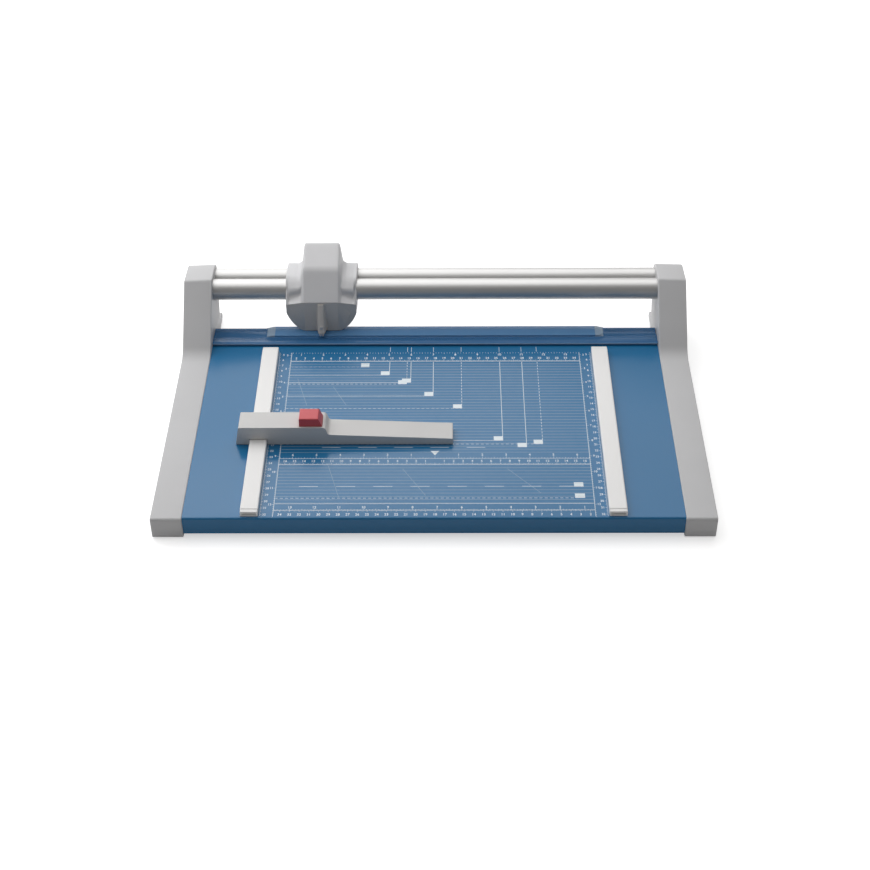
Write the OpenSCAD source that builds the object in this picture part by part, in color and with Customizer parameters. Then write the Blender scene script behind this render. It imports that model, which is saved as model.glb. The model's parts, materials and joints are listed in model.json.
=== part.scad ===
// Rotary paper trimmer: a printed steel table between two moulded end frames,
// two guide tubes, a sliding cutting head, a clamp strip and a backstop.

/* [Table] */
// Width of the printed table between the end frames
table_w = 518; // [470:2:620]
// Depth of the table from the cut line to its front edge
table_d = 326; // [290:2:380]
// Height of the table top above the floor
table_h = 26.5; // [25:0.5:32]
// Thickness of the table's sheet steel
sheet_t = 1.5; // [1.2:0.1:2]
// Height of the table's front flange
flange_h = 21; // [17:0.5:22]
// Radius of the table's bent front edge
bend_r = 2.4; // [2.2:0.1:3.5]

/* [End frames] */
// Width of an end frame
frame_w = 32.5; // [30:0.5:40]
// How far a frame reaches in front of the table's front edge
frame_nose = 2; // [1:0.5:6]
// How far a frame's rear foot reaches behind the cut line
foot_reach = 60; // [60:0.5:75]
// Height of a frame's rear foot
foot_rise = 8.5; // [7:0.5:12]
// Wall of a moulded frame
frame_wall = 3; // [2.5:0.1:3.5]
// Lean of the post's front face from upright, in degrees
post_lean = 47; // [42:1:50]
// Lean of the post's rear face from upright, in degrees
back_lean = 22; // [18:1:26]
// Radius of the sweep from the rail up into the post
sweep_r = 28; // [15:1:40]
// Rounding of a frame's inner long edge
edge_r = 2; // [1:0.1:2.5]
// Rounding of a frame's outer long edge
outer_edge_r = 1; // [0.6:0.1:2]
// How much higher the post's roof is at its inner edge
roof_cant = 1.3; // [0:0.1:2]
// Height of a rubber foot below the frame
foot_drop = 1; // [0.8:0.1:3]

/* [Guide tubes] */
// Outer diameter of a guide tube
tube_od = 24.5; // [22:0.1:25]
// Wall of a guide tube
tube_wall = 1.5; // [1.2:0.1:2.5]
// Distance of the front tube's axis behind the cut line
tube_y = 18; // [17:0.5:22]
// Height of the front tube's axis above the table
tube_z = 44.8; // [43:0.5:50]
// Distance between the tube axes, front to back
tube_pitch = 25.5; // [25.5:0.1:28]
// How much lower the rear tube lies
tube_drop = 2.7; // [0:0.1:4]
// Length of a tube inside each end frame
tube_seat = 24; // [18:0.5:24]

/* [Cutting] */
// Diameter of the cutting disc
disc_d = 45; // [40:0.5:47]
// Depth of the disc's edge below the table top
disc_bite = 2; // [1:0.1:3]
// Thickness of the cutting disc
disc_t = 1; // [0.8:0.1:1.4]
// Height of the counter blade
counter_h = 18; // [16:0.5:19]
// Thickness of the counter blade
counter_t = 3; // [2:0.1:4]

/* [Cutting head] */
// Width of the cutting head
head_w = 82.4; // [76:0.2:88]
// Width of the grip's front face
grip_w = 38.5; // [34:0.5:42]
// Height of the grip above the table
grip_h = 86.6; // [80:0.2:95]
// Wall of the head's cover
cover_wall = 2; // [1.6:0.1:2.2]
// Position of the head along the cut, from the middle
head_x = -132.2; // [-200:0.2:200]
// Radius of the round blade guard
guard_r = 42.8; // [41:0.1:44]
// Clearance between the guard and the clamp strip below it
guard_lift = 3.2; // [2.6:0.1:8]

/* [Clamp strip] */
// Depth of the clamp strip, front to back
strip_d = 31; // [26:0.5:34]
// Thickness of the clamp strip
strip_t = 1.8; // [1.4:0.1:2.2]
// Height of the strip above the table when it is up
strip_lift = 1.5; // [1.2:0.1:2]
// Length of the raised rib that the head presses on
rib_l = 376; // [300:2:420]
// Height of the raised rib above the strip
rib_h = 2.7; // [1.8:0.1:3]

/* [Side stops] */
// Distance from a side stop's outer edge to the table's side
stop_inset = 60; // [40:0.5:80]
// Width of a side stop
stop_w = 18.5; // [14:0.5:24]
// Height of a side stop above the table
stop_h = 7; // [5:0.5:9]
// Distance from a side stop's front end to the table's front edge
stop_front = 7.6; // [7:0.2:60]

/* [Backstop] */
// Length of the backstop along the cut
back_l = 234.5; // [200:0.5:300]
// Depth of the backstop, front to back
back_d = 26.5; // [24:0.5:32]
// Height of the backstop's block
back_h = 23.2; // [21:0.1:28]
// Distance of the backstop's front face from the cut line
back_y = 209.5; // [120:0.5:300]
// Length of the red button
button_l = 24.6; // [20:0.1:28]
// Height of the button above the block
button_h = 10.2; // [6:0.1:12]
// Travel of the button
button_travel = 2.5; // [1.5:0.1:3]

/* [Screws] */
// Thread diameter of the table's and the counter blade's screws
screw_d = 4; // [3.6:0.1:4.3]
// Head diameter of the same screws
screw_head_d = 8; // [7:0.1:8.2]
// Length of a table screw inside its frame
screw_grip = 10; // [8:0.5:11]
// Thread diameter of a guide tube's screw
tube_screw_d = 6; // [5:0.1:6.4]
// Length of a guide tube's screw
tube_screw_l = 14; // [11:0.5:15]
// Thread diameter of the small screws in the head and the backstop
small_screw_d = 2.7; // [2.4:0.1:3]
// Length of a blade guard's screw
guard_screw_l = 12; // [9:0.5:12]

/* [Fits] */
// Gap between pieces that move past each other
move_gap = 0.4; // [0.3:0.05:0.6]
// Gap between pieces that are fixed together
seat_gap = 0.3; // [0.2:0.05:0.35]
// Radial clearance of a sliding or turning fit
run_gap = 0.05; // [0.02:0.01:0.1]

/* [Hidden] */
$fn = 64;
tiny = 0.01;
past = 1;

// The frame's outline, in the plane of Y and Z seen from the right
frame_z = foot_drop - table_h;
frame_y = -(table_d + frame_nose);
rail_rise = 0.6;
cut_y = (table_d + frame_nose - foot_reach) / 2;
tube_r = tube_od / 2;
front_tube = [tube_y, tube_z];
rear_tube = [tube_y + tube_pitch, tube_z - tube_drop];
wrap_r = tube_r + 3.6;
roof_fall = 6;
post_front_y = tube_y - 6;

// The cutting head
head_half = head_w / 2;
grip_half = grip_w / 2;
sleeve_r = tube_r + 1.1;
axle_z = disc_d / 2 - disc_bite;
axle_r = 3;
seam_z = 45.2;
seam_drop = 6;
cover_front = -9.5;
cover_skew = 4;
cover_foot = 26;
cover_back = rear_tube[0] + wrap_r;
carriage_half = head_half - cover_wall - 2;
arm_y = tube_y - 10;

// The clamp strip
strip_back = -2.4;
tongue_in = 5;
pocket_in = 6;
strip_top = strip_lift + strip_t;
rib_back = strip_back;
rib_front = strip_back - 17.2;
channel_h = rib_h - 1.2;
ramp_l = 10;
lip_h = channel_h + 0.6;
foot_tip_z = strip_top + lip_h + seat_gap;
guard_foot = strip_top + channel_h;

// The side stops and the backstop
stop_x = table_w / 2 - stop_inset - stop_w;
stop_back = -48;
stop_l = table_d + stop_back - stop_front;
block_left = stop_x + stop_w + 15.2;
block_draft = 4.2;
block_l = 97.7;
arm_start_h = 13.4;
arm_end_h = 7.7;
back_lift = 0.5;
back_wall = 2;
button_x = -block_left + 69.5;
button_skirt = 4;
button_d = 19;
button_front = -back_y + 2.3;
cavity_right = block_l - block_left - 1.9;
base_t = 1.6;
shoe_h = 4;
shoe_half = 3.2;
shoe_pull = 1.2;
shoe_z = back_lift + base_t + move_gap;
wedge_z = shoe_z + button_travel;
wedge_x = button_x + 0.6;
wedge_half = 1.6;
wedge_slope = shoe_pull / button_travel;

function unit2(v) = v / norm(v);
function turned(v, a) = [v[0] * cos(a) - v[1] * sin(a), v[0] * sin(a) + v[1] * cos(a)];
function cross2(a, b) = a[0] * b[1] - a[1] * b[0];
function flat2(c) = [c[0], c[1]];
function left_of(v) = [-v[1], v[0]];
function blend(a, b, w) = a + (b - a) * w;
function ease(t) = let (u = min(1, max(0, t))) u * u * (3 - 2 * u);

// A closed outline, drawn anticlockwise, whose corners [x, y, r] are rounded with radius r
function rounded(c, step = 9) = [for (i = [0 : len(c) - 1])
    let (n = len(c), p = flat2(c[(i + n - 1) % n]), q = flat2(c[i]), s = flat2(c[(i + 1) % n]), r = c[i][2],
        a = unit2(p - q), b = unit2(s - q), turn = acos(a * b), side = sign(cross2(q - p, s - q)),
        t = r / tan(turn / 2), mid = q + unit2(a + b) * r / sin(turn / 2),
        steps = max(1, ceil((180 - turn) / step)))
    each (r == 0 ? [q] : [for (k = [0 : steps])
        mid + turned(q + a * t - mid, side * (180 - turn) * k / steps)])];

// The same corners moved in by d, with their radii following
function inset(c, d) = [for (i = [0 : len(c) - 1])
    let (n = len(c), p = flat2(c[(i + n - 1) % n]), q = flat2(c[i]), s = flat2(c[(i + 1) % n]),
        na = left_of(unit2(q - p)), nb = left_of(unit2(s - q)),
        m = q + (na + nb) * d / (1 + na * nb), bulge = cross2(q - p, s - q) > 0)
    [m[0], m[1], max(0.5, c[i][2] + (bulge ? -d : d))]];

// A corner rounded by a parabola that starts reach away on each side
function soft_corner(p, q, s, reach, steps) = [for (k = [0 : steps])
    let (a = q + unit2(p - q) * reach, b = q + unit2(s - q) * reach, u = k / steps)
    a * (1 - u) * (1 - u) + q * 2 * u * (1 - u) + b * u * u];

module along_x(x0, x1) translate([x0, 0, 0]) rotate([90, 0, 90]) linear_extrude(x1 - x0) children();
module along_y(y0, y1) translate([0, y1, 0]) rotate([90, 0, 0]) linear_extrude(y1 - y0) children();
module block(x0, x1, y0, y1, z0, z1) translate([x0, y0, z0]) cube([x1 - x0, y1 - y0, z1 - z0]);
module rod_x(r, x0, x1, y, z) translate([x0, y, z]) rotate([0, 90, 0]) cylinder(r = r, h = x1 - x0);
module rod_y(r, y0, y1, x, z) translate([x, y1, z]) rotate([90, 0, 0]) cylinder(r = r, h = y1 - y0);
module rod_z(r, z0, z1, x, y) translate([x, y, z0]) cylinder(r = r, h = z1 - z0);
module both_sides() { children(); mirror([1, 0, 0]) children(); }

// Every piece is drawn from the cut line: X along it, Y back from it, Z up from the table top
module placed() translate([0, cut_y, table_h]) children();
module on_head() placed() translate([head_x, 0, 0]) children();

// A solid through a row of outlines that have the same number of points, cut square at both ends
module skin(x, outlines) {
    n = len(outlines[0]);
    m = len(x) + 2;
    xs = concat([x[0] - past], x, [x[m - 3] + past]);
    lines = concat([outlines[0]], outlines, [outlines[m - 3]]);
    points = [for (i = [0 : m - 1]) for (p = lines[i]) [xs[i], p[0], p[1]]];
    walls = [for (i = [0 : m - 2]) for (k = [0 : n - 1])
        [i * n + k, (i + 1) * n + k, (i + 1) * n + (k + 1) % n, i * n + (k + 1) % n]];
    difference() {
        polyhedron(points, concat([[for (k = [0 : n - 1]) k]], walls,
            [[for (k = [n - 1 : -1 : 0]) (m - 1) * n + k]]), convexity = 8);
        for (end = [[x[0] - 3 * past, x[0]], [x[m - 3], x[m - 3] + 3 * past]])
            block(end[0], end[1], -table_d * 2, table_d * 2, -table_d, table_d);
    }
}

// A screw that points along +Z from the underside of its head
module screw(r, l, head_r, head_h) difference() {
    union() {
        cylinder(r = r, h = l);
        translate([0, 0, -head_h]) cylinder(r1 = head_r - head_h * 0.15, r2 = head_r, h = head_h);
    }
    translate([0, 0, -head_h - past]) cylinder(r = head_r * 0.5, h = head_h * 0.6 + past, $fn = 6);
}

// Table

table_screw_y = [for (t = [0.16, 0.5, 0.84]) -table_d * t];
table_screw_z = -table_h * 0.4;
counter_screw_n = 7;
counter_screw_x = [for (i = [0 : counter_screw_n - 1]) (i / (counter_screw_n - 1) - 0.5) * (table_w - 60)];
counter_screw_z = -counter_h * 0.6;
stop_screw_y = [for (t = [0.1, 0.5, 0.9]) stop_back - stop_l * t];
side_flange_h = 18;
screw_r = screw_d / 2;
screw_hole_r = screw_r + 0.2;
screw_head_r = screw_head_d / 2;
small_r = small_screw_d / 2;
table_back = -counter_t;

module table_top() color("steelblue") placed() {
    face = [[-table_d, -flange_h, 0], [-table_d + 9, -flange_h, 0], [-table_d + 9, -flange_h + sheet_t, 0],
        [-table_d + sheet_t, -flange_h + sheet_t, 0], [-table_d + sheet_t, -sheet_t, bend_r - sheet_t],
        [table_back - sheet_t, -sheet_t, 0], [table_back - sheet_t, -counter_h, 0], [table_back, -counter_h, 0],
        [table_back, 0, 0.6], [-table_d, 0, bend_r]];
    difference() {
        union() {
            along_x(-table_w / 2, table_w / 2) polygon(rounded(face));
            both_sides() block(table_w / 2 - sheet_t, table_w / 2, -table_d + sheet_t, table_back - sheet_t,
                -side_flange_h, -sheet_t / 2);
        }
        for (y = table_screw_y) rod_x(screw_hole_r, -table_w, table_w, y, table_screw_z);
        for (x = counter_screw_x) rod_y(screw_hole_r, table_back - 2 * sheet_t, table_back + past, x, counter_screw_z);
        both_sides() for (y = stop_screw_y)
            rod_z(screw_hole_r, -2 * sheet_t, past, stop_x + stop_w / 2, y);
    }
}

beam_d = 14;
beam_end = 6;

module rear_beam() color("silver") placed() difference() {
    y1 = table_back - sheet_t;
    x1 = table_w / 2 - sheet_t - beam_end;
    along_x(-x1, x1) difference() {
        polygon(rounded([[y1 - beam_d, -counter_h, 1.5], [y1, -counter_h, 0], [y1, -sheet_t, 0],
            [y1 - beam_d, -sheet_t, 1.5]]));
        polygon(rounded([[y1 - beam_d + 2, -counter_h + 2.5, 1], [y1 - 4, -counter_h + 2.5, 1],
            [y1 - 4, -sheet_t - 2.5, 1], [y1 - beam_d + 2, -sheet_t - 2.5, 1]]));
    }
    for (x = counter_screw_x) rod_y(screw_r + run_gap, y1 - 5, y1 + past, x, counter_screw_z);
}

module counter_blade() color("lightgray") placed() difference() {
    along_x(seat_gap - table_w / 2, table_w / 2 - seat_gap)
        polygon([[-counter_t, -counter_h], [-0.8, -counter_h], [0, -counter_h + 0.8], [0, -0.05], [-counter_t, -0.05]]);
    for (x = counter_screw_x) {
        rod_y(screw_hole_r, -counter_t - past, past, x, counter_screw_z);
        translate([x, past, counter_screw_z]) rotate([90, 0, 0])
            cylinder(r = screw_head_r + 0.1, h = past + counter_t * 0.6);
    }
}

module counter_screws() color("dimgray") placed() for (x = counter_screw_x)
    translate([x, -counter_t * 0.6, counter_screw_z]) rotate([90, 0, 0])
        screw(screw_r, counter_t + sheet_t + 2, screw_head_r - 0.1, counter_t / 2);

// End frames

function line_y(lean, y, z0, z) = y - tan(lean) * (z0 - z);
roof_n = [sin(roof_fall), cos(roof_fall)];
back_n = [cos(back_lean), -sin(back_lean)];
roof_z = rear_tube[1] + (wrap_r - roof_n[0] * (post_front_y - rear_tube[0])) / roof_n[1];
roof_corner = rear_tube + (roof_n + back_n) * wrap_r / (1 + roof_n * back_n);
back_foot_z = frame_z + foot_rise;
frame_line = [[frame_y, frame_z, 2.5],
    [foot_reach, frame_z, 2.5],
    [foot_reach, back_foot_z, 4],
    [roof_corner[0] - tan(back_lean) * (roof_corner[1] - back_foot_z), back_foot_z, 8],
    [roof_corner[0], roof_corner[1], wrap_r],
    [post_front_y, roof_z, 5],
    [line_y(post_lean, post_front_y, roof_z, rail_rise), rail_rise, sweep_r],
    [frame_y, rail_rise, 3]];
half_in = table_w / 2;
half_out = table_w / 2 + frame_w;
foot_r = 8;
foot_spots = [frame_y + 26, foot_reach - 22];
foot_recess = 2;
tube_screw_r = tube_screw_d / 2;
tube_screw_head_r = tube_screw_d * 0.93;
rib_spots = [for (i = [1 : 6]) frame_y + i * (table_d - 60) / 6];
pocket = [strip_back - strip_d + 1, strip_back - strip_d + 17];

// The same outline with its post raised towards the roof
function canted(line) = [for (p = line)
    [p[0], p[1] + roof_cant * max(0, (p[1] - rail_rise) / (roof_z - rail_rise))]];

// The right frame; the left one is its mirror image
module end_frame() {
    x0 = half_in + frame_wall;
    x1 = half_out - frame_wall;
    ease_x = [0, 0.35, 0.75, 1];
    ins = [for (e = ease_x) 1 - sqrt(1 - (1 - e) * (1 - e))];
    xs = concat([for (e = ease_x) half_in + edge_r * 0.6 * e],
        [for (i = [3 : -1 : 0]) half_out - outer_edge_r * ease_x[i]]);
    lines = concat([for (d = ins) canted(rounded(inset(frame_line, d * edge_r * 0.6 + tiny)))],
        [for (i = [3 : -1 : 0]) rounded(inset(frame_line, ins[i] * outer_edge_r + tiny))]);
    difference() {
        skin(xs, lines);
        difference() {
            along_x(x0, x1) {
                polygon(rounded(inset(frame_line, frame_wall)));
                translate([frame_y + frame_wall, frame_z - past])
                    square([foot_reach - frame_y - 2 * frame_wall, frame_wall + past + tiny]);
            }
            for (y = rib_spots) block(half_in, half_out, y - 1.25, y + 1.25, frame_z + 3, 40);
            for (t = [front_tube, rear_tube]) {
                rod_x(tube_r + 3, half_in, half_out, t[0], t[1]);
                block(half_in, half_out, t[0] - 1.25, t[0] + 1.25, frame_z + 3, t[1]);
            }
            for (y = foot_spots) rod_z(foot_r + 3, frame_z, rail_rise + frame_wall, (half_in + half_out) / 2, y);
            for (y = table_screw_y) rod_x(screw_r + 2.5, half_in, half_in + screw_grip + 4, y, table_screw_z);
            block(half_in, half_in + pocket_in + 3, pocket[0] - 3, pocket[1] + 3, -7, strip_top + 5);
        }
        for (t = [front_tube, rear_tube]) {
            rod_x(tube_r + run_gap, half_in - past, half_in + tube_seat + seat_gap, t[0], t[1]);
            rod_x(tube_screw_r + 0.3, half_in, half_out, t[0], t[1]);
            rod_x(tube_screw_head_r + 0.8, half_in + tube_seat + seat_gap + 2.2, half_out + past, t[0], t[1]);
        }
        for (y = foot_spots)
            rod_z(foot_r + seat_gap / 2, frame_z - past, frame_z + foot_recess, (half_in + half_out) / 2, y);
        for (y = table_screw_y) rod_x(screw_r + run_gap, half_in - past, half_in + screw_grip + 2, y, table_screw_z);
        block(half_in - past, half_in + pocket_in, pocket[0], pocket[1], 0, strip_top + move_gap);
    }
}

module right_end_frame() color("gainsboro") placed() end_frame();
module left_end_frame() color("gainsboro") placed() mirror([1, 0, 0]) end_frame();

module table_screws() color("dimgray") placed() both_sides() for (y = table_screw_y)
    translate([half_in - sheet_t, y, table_screw_z]) rotate([0, 90, 0])
        screw(screw_r, sheet_t + screw_grip, screw_head_r, screw_r * 1.2);

module rubber_feet() color("dimgray") placed() both_sides() for (y = foot_spots)
    translate([(half_in + half_out) / 2, y, -table_h]) {
        cylinder(r1 = foot_r - 0.6, r2 = foot_r, h = 0.6);
        translate([0, 0, 0.6]) cylinder(r = foot_r, h = foot_drop + foot_recess - 0.6);
    }

// Guide tubes

module guide_tube(t) difference() {
    rod_x(tube_r, -half_in - tube_seat, half_in + tube_seat, t[0], t[1]);
    rod_x(tube_r - tube_wall, -half_out, half_out, t[0], t[1]);
}
module front_guide_tube() color("silver") placed() guide_tube(front_tube);
module rear_guide_tube() color("silver") placed() guide_tube(rear_tube);

module tube_plugs() color("gray") placed() both_sides() for (t = [front_tube, rear_tube]) difference() {
    rod_x(tube_r - tube_wall - run_gap, half_in + tube_seat - 16, half_in + tube_seat, t[0], t[1]);
    rod_x(tube_screw_r + run_gap, half_in, half_out, t[0], t[1]);
}

module tube_screws() color("dimgray") placed() both_sides() for (t = [front_tube, rear_tube])
    translate([half_in + tube_seat + seat_gap + 2.2, t[0], t[1]]) rotate([0, -90, 0])
        screw(tube_screw_r, tube_screw_l, tube_screw_head_r, frame_w - tube_seat - seat_gap - 2.2 - 1.2);

// Side stops

module side_stop() difference() {
    x0 = stop_x;
    along_y(stop_back - stop_l, stop_back) difference() {
        polygon(rounded([[x0, 0, 0.4], [x0 + stop_w, 0, 0.4], [x0 + stop_w, stop_h, 1.2], [x0, stop_h, 1.2]]));
        polygon(rounded([[x0 + 1.5, 1.6, 0.5], [x0 + stop_w - 1.5, 1.6, 0.5],
            [x0 + stop_w - 1.5, stop_h - 1.5, 0.8], [x0 + 1.5, stop_h - 1.5, 0.8]]));
    }
    for (y = stop_screw_y) rod_z(screw_r + run_gap, -past, stop_h / 2, x0 + stop_w / 2, y);
}
module right_side_stop() color("white") placed() side_stop();
module left_side_stop() color("white") placed() mirror([1, 0, 0]) side_stop();

cap_t = 4.4;

module stop_cap(y, out) {
    x0 = stop_x;
    difference() {
        along_y(min(y, y + out * cap_t), max(y, y + out * cap_t))
            polygon(rounded([[x0 + 0.1, 0, 0.4], [x0 + stop_w - 0.1, 0, 0.4],
                [x0 + stop_w - 0.1, stop_h - 0.5, 1.2], [x0 + 0.1, stop_h - 0.5, 1.2]]));
        block(x0 + 2, x0 + stop_w - 2, y + out * cap_t - 2.4, y + out * cap_t + 2.4, 1.2, stop_h - 2.4);
    }
    block(x0 + 1.8, x0 + stop_w - 1.8, min(y, y - out * 8), max(y, y - out * 8), 1.9, stop_h - 1.8);
}
module stop_end_caps() color("whitesmoke") placed() both_sides() {
    stop_cap(stop_back - stop_l, -1);
    stop_cap(stop_back, 1);
}

module stop_screws() color("dimgray") placed() both_sides() for (y = stop_screw_y)
    translate([stop_x + stop_w / 2, y, -sheet_t]) screw(screw_r, sheet_t + 1.6 + 1, screw_head_r, 2.2);

// Clamp strip

module strip_outline() polygon(rounded([
    [strip_back - strip_d, strip_lift, 0.3], [strip_back, strip_lift, 0.3], [strip_back, strip_top, 0.5],
    [strip_back - 6, strip_top, 0], [strip_back - 6.6, strip_top - 0.5, 0], [strip_back - 7.4, strip_top - 0.5, 0],
    [strip_back - 8, strip_top, 0], [strip_back - 17.6, strip_top, 0], [strip_back - 18.2, strip_top - 0.6, 0],
    [strip_back - 19.2, strip_top - 0.6, 0], [strip_back - 19.8, strip_top, 0],
    [strip_back - strip_d, strip_top, 0.8]]));

module rib_outline() polygon(rounded([
    [rib_front, strip_top - 0.5, 0], [rib_back, strip_top - 0.5, 0], [rib_back, strip_top + rib_h, 0.8],
    [rib_back - 3.6, strip_top + rib_h, 0.8], [rib_back - 4.4, strip_top + channel_h, 0.4],
    [rib_front + 2.6, strip_top + channel_h, 0.4], [rib_front + 2, strip_top + channel_h + 0.6, 0.4],
    [rib_front, strip_top + channel_h + 0.6, 0.5]]));

module clamp_strip() color([0.7, 0.82, 0.92, 0.5]) placed() {
    along_x(move_gap - half_in, half_in - move_gap) strip_outline();
    intersection() {
        along_x(-rib_l / 2 - ramp_l, rib_l / 2 + ramp_l) rib_outline();
        along_y(rib_front - past, rib_back + past) polygon([
            [-rib_l / 2 - ramp_l, strip_top - past], [rib_l / 2 + ramp_l, strip_top - past],
            [rib_l / 2 + ramp_l, strip_top], [rib_l / 2, strip_top + rib_h + tiny],
            [-rib_l / 2, strip_top + rib_h + tiny], [-rib_l / 2 - ramp_l, strip_top]]);
    }
    both_sides() block(half_in - past, half_in + tongue_in, pocket[0] + move_gap, pocket[1] - move_gap,
        strip_lift, strip_top);
}

bow_rise = strip_lift - 0.6;
bow_half = 6.5;
bow_r = (bow_half * bow_half + bow_rise * bow_rise) / (2 * bow_rise);

module clamp_springs() color("silver") placed() both_sides() {
    mid = (pocket[0] + pocket[1]) / 2;
    intersection() {
        difference() {
            rod_x(bow_r, half_in + 0.6, half_in + tongue_in - 0.6, mid, strip_lift - 0.15 - bow_r);
            rod_x(bow_r - 0.3, half_in, half_in + tongue_in, mid, strip_lift - 0.15 - bow_r);
        }
        block(half_in, half_in + tongue_in, mid - bow_half, mid + bow_half, 0.05, strip_lift);
    }
}

// Cutting head

function seam_at(x) = seam_z - seam_drop * max(0, abs(x) - grip_half) / (head_half - grip_half);
function front_at(x) = cover_front + cover_skew * max(0, abs(x) - grip_half) / (head_half - grip_half);
function grip_share(x) = 1 - ease((abs(x) - grip_half - 0.9) / 4.4) * 0.86 - ease((abs(x) - grip_half - 3) / 7) * 0.14;
function scoop_share(x) = ease((abs(x) - grip_half - 1) / 5) * (1 - ease((abs(x) - head_half + 4.2) / 2.8));

// Section of the head's cover at x, from its front lower edge round the back to the front again
function cover_section(x) =
    let (g = grip_share(x), s = scoop_share(x), z0 = seam_at(x), y0 = front_at(x),
        shy = max(0, (abs(x) - head_half + 1.2) / 1.2),
        pull = 0.9 * (1 - sqrt(max(0, 1 - shy * shy))),
        back = cover_back - pull,
        round_t = min(0.98, max(0, abs(x) - grip_half + 2.2) / 4),
        crown = 2.2 * (1 - sqrt(1 - round_t * round_t)) * g,
        top_z = blend(roof_z + 0.6 - tan(roof_fall - 2) * (cover_back - post_front_y), grip_h, g) - pull - crown,
        front_z = blend(roof_z + 0.3, grip_h - 12.5, g) - pull - crown * 0.6,
        front_y = blend(post_front_y - 1.5, cover_front + 27, g) + pull,
        a = [y0 + pull, z0], b = [tube_y - sleeve_r, z0], c = [tube_y - sleeve_r, cover_foot],
        d = [back, cover_foot], e = [back, top_z], f = [front_y, front_z],
        on_line = blend(f, a, 0.62),
        m = blend(on_line, [tube_y - sleeve_r - cover_wall - 0.7, z0 + 5.4], s))
    concat([a, b, c], [d],
        soft_corner(d, e, f, blend(14, 9, g), 8),
        soft_corner(e, f, m, blend(5, 5, g), 5),
        soft_corner(f, m, a, blend(3, 5, s), 5));

cover_half_xs = [0, 0.45, 0.88, 0.92, 0.96, 1];
function cover_stations() = concat([for (t = cover_half_xs) t * grip_half],
    [for (d = [0.7, 1.5, 2.3, 3.1, 4, 5.2, 7, 9]) grip_half + d],
    [for (d = [9, 6.5, 4.4, 3.5, 2.6, 1.7, 1.1, 0.6, 0.2, 0]) head_half - d]);
function mirrored(v) = concat([for (i = [len(v) - 1 : -1 : 1]) -v[i]], v);

module head_cover() color("lightgray") on_head() {
    xs = mirrored(cover_stations());
    in_x = head_half - cover_wall;
    difference() {
        skin(xs, [for (x = xs) cover_section(x)]);
        // Room for the carriage
        for (t = [front_tube, rear_tube]) rod_x(sleeve_r + seat_gap, -in_x, in_x, t[0], t[1]);
        block(-in_x, in_x, tube_y - sleeve_r - past, rear_tube[0] + sleeve_r + seat_gap, cover_foot - past, rear_tube[1]);
        // Room inside the grip
        along_x(-grip_half + cover_wall + 1, grip_half - cover_wall - 1) polygon(rounded([
            [tube_y + 2, tube_z, 0], [rear_tube[0], tube_z, 0], [cover_back - 7, grip_h - 20, 3],
            [cover_back - 11, grip_h - 5, 5], [tube_y + 4, grip_h - 15, 3]]));
        // The tubes pass through both ends
        for (t = [front_tube, rear_tube]) rod_x(tube_r + 0.6, -head_w, head_w, t[0], t[1]);
        for (x = cover_screw_x) {
            rod_y(1.8, cover_back - 4, cover_back + past, x, cover_screw_z);
            rod_y(3.6, cover_back - 0.8, cover_back + past, x, cover_screw_z);
        }
    }
}

cover_screw_x = [-24, 24];
cover_screw_z = cover_foot + 2.6;
guard_screw_x = 30;
guard_screw_z = 27;
guard_wall = 2.3;
guard_back = 3.4;
guard_mid = 40.3;
guard_low = guard_foot + move_gap;
guard_z = strip_top + guard_lift + 1.5;
guard_half = head_half - seat_gap;
nose_y = -22;
nose_top_w = 3;
nose_w = 12.6;
nose_tip_r = 3.6;
nose_z = guard_z + 0.8;
foot_w = 5.8;
stem_w = 3.6;
stem_slot = stem_w + 2 * seat_gap;
stem_top = nose_z + 9;

module guard_plan(d) polygon([[-guard_half + d, front_at(guard_half) + d], [-grip_half, cover_front + d],
    [grip_half, cover_front + d], [guard_half - d, front_at(guard_half) + d], [guard_half - d, 40],
    [-guard_half + d, 40]]);

module guard_face(d) polygon([[-guard_r, guard_low], [guard_r, guard_low],
    [guard_r, seam_at(guard_r) - seat_gap - d], [grip_half, seam_z - seat_gap - d],
    [-grip_half, seam_z - seat_gap - d], [-guard_r, seam_at(guard_r) - seat_gap - d]]);

// A round dish about the Y axis, with its front edge rounded
module dish(r, y0, y1, soft) translate([0, 0, guard_mid]) rotate([-90, 0, 0])
    rotate_extrude($fn = 128) polygon(rounded([[0, y0, 0], [r, y0, soft], [r, y1, 0], [0, y1, 0]]));

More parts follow.
